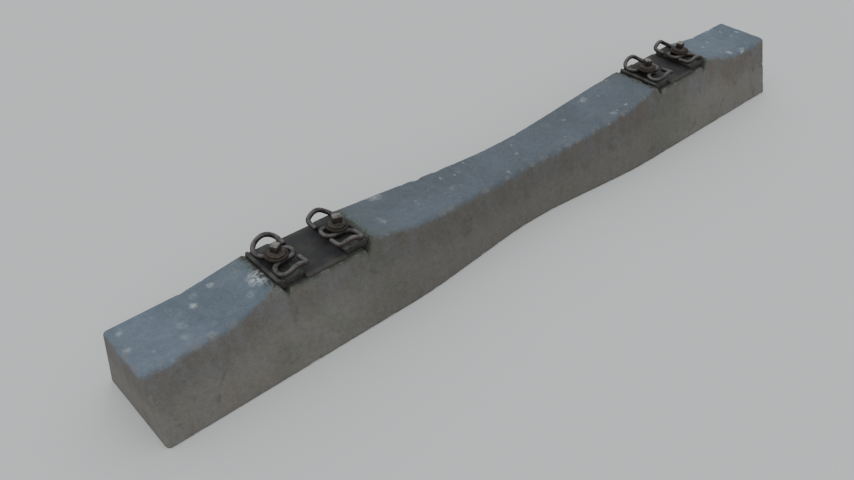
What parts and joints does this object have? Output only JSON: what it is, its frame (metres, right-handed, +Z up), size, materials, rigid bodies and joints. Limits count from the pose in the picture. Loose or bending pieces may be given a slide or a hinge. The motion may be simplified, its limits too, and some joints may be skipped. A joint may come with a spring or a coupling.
{
  "type": "railway sleeper",
  "caption": "Prestressed concrete railway sleeper with a waist, raised shoulders, leaning rail seats and rusted spring clamp fastenings.",
  "frame": {"origin": "on the flat underside, under the middle of the sleeper", "axes": "+X along the sleeper towards its right end, +Y across it along the track, +Z up"},
  "size_m": [2.55, 0.3, 0.2883],
  "materials": {
    "concrete": "matte",
    "pad_rubber": "matte",
    "dowel_plastic": "matte",
    "plate_plastic": "matte",
    "clamp_steel": "matte",
    "washer_steel": "matte",
    "screw_steel": "matte"
  },
  "bodies": {
    "root": {"sleeper_body": "concrete", "seat_pad_left": "pad_rubber", "seat_pad_right": "pad_rubber", "dowel_left_outer": "dowel_plastic", "dowel_left_inner": "dowel_plastic", "dowel_right_outer": "dowel_plastic", "dowel_right_inner": "dowel_plastic", "guide_plate_left_outer": "plate_plastic", "guide_plate_left_inner": "plate_plastic", "guide_plate_right_outer": "plate_plastic", "guide_plate_right_inner": "plate_plastic", "tension_clamp_left_outer": "clamp_steel", "tension_clamp_left_inner": "clamp_steel", "tension_clamp_right_outer": "clamp_steel", "tension_clamp_right_inner": "clamp_steel", "washer_left_outer": "washer_steel", "washer_left_inner": "washer_steel", "washer_right_outer": "washer_steel", "washer_right_inner": "washer_steel", "sleeper_screw_left_outer": "screw_steel", "sleeper_screw_left_inner": "screw_steel", "sleeper_screw_right_outer": "screw_steel", "sleeper_screw_right_inner": "screw_steel"}
  },
  "joints": []
}
